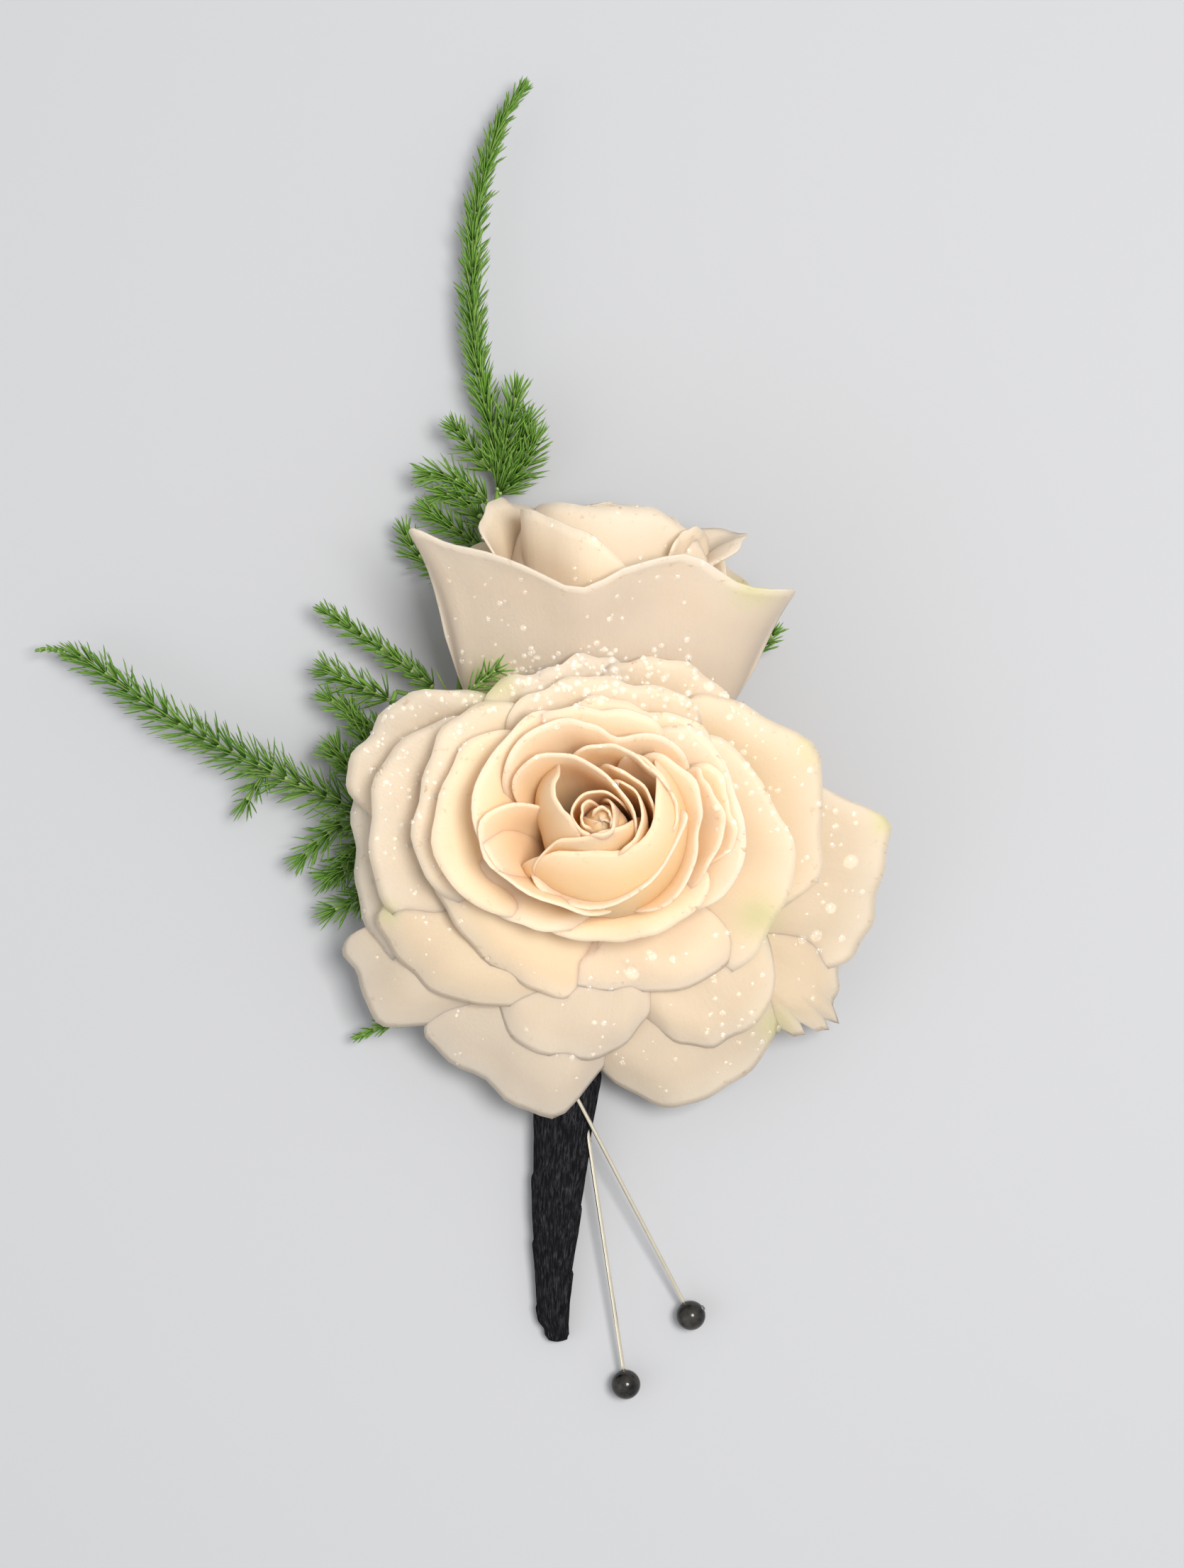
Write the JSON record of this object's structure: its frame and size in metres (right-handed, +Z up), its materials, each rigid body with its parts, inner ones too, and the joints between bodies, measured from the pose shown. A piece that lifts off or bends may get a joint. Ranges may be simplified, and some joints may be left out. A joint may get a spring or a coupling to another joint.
{
  "type": "boutonniere",
  "caption": "Boutonniere of cream garden roses and asparagus fern, lying down, its stems bound in black floral tape that holds pearl-headed pins for a lapel.",
  "frame": {"origin": "on the table that it lies on, under the middle of its bounding box", "axes": "+Z up from the table, +Y from the taped handle to the long fern tip, +X to the right as seen from above"},
  "size_m": [0.1078, 0.1685, 0.0417],
  "materials": {
    "petal": "fresh rose petal, satin, cream outside and peach at the heart; paper stands in for plant tissue",
    "leaf": "fresh green rose stem and sepals, satin; wood stands in for plant tissue",
    "fern": "fresh asparagus fern, matte; wood stands in for plant tissue",
    "tape": "black waxed crepe floral tape, matte",
    "pin": "plated steel wire, bright",
    "bead": "black pearl finish, glossy"
  },
  "bodies": {
    "root": {"rose_front_petals": "petal", "rose_back_petals": "petal", "rose_front_stem": "leaf", "rose_back_stem": "leaf", "fern_upper": "fern", "fern_left": "fern", "fern_right": "fern", "stem_wrap": "tape", "pin_shaft_a": "pin", "pin_bead_a": "bead", "pin_shaft_b": "pin", "pin_bead_b": "bead"}
  },
  "joints": []
}
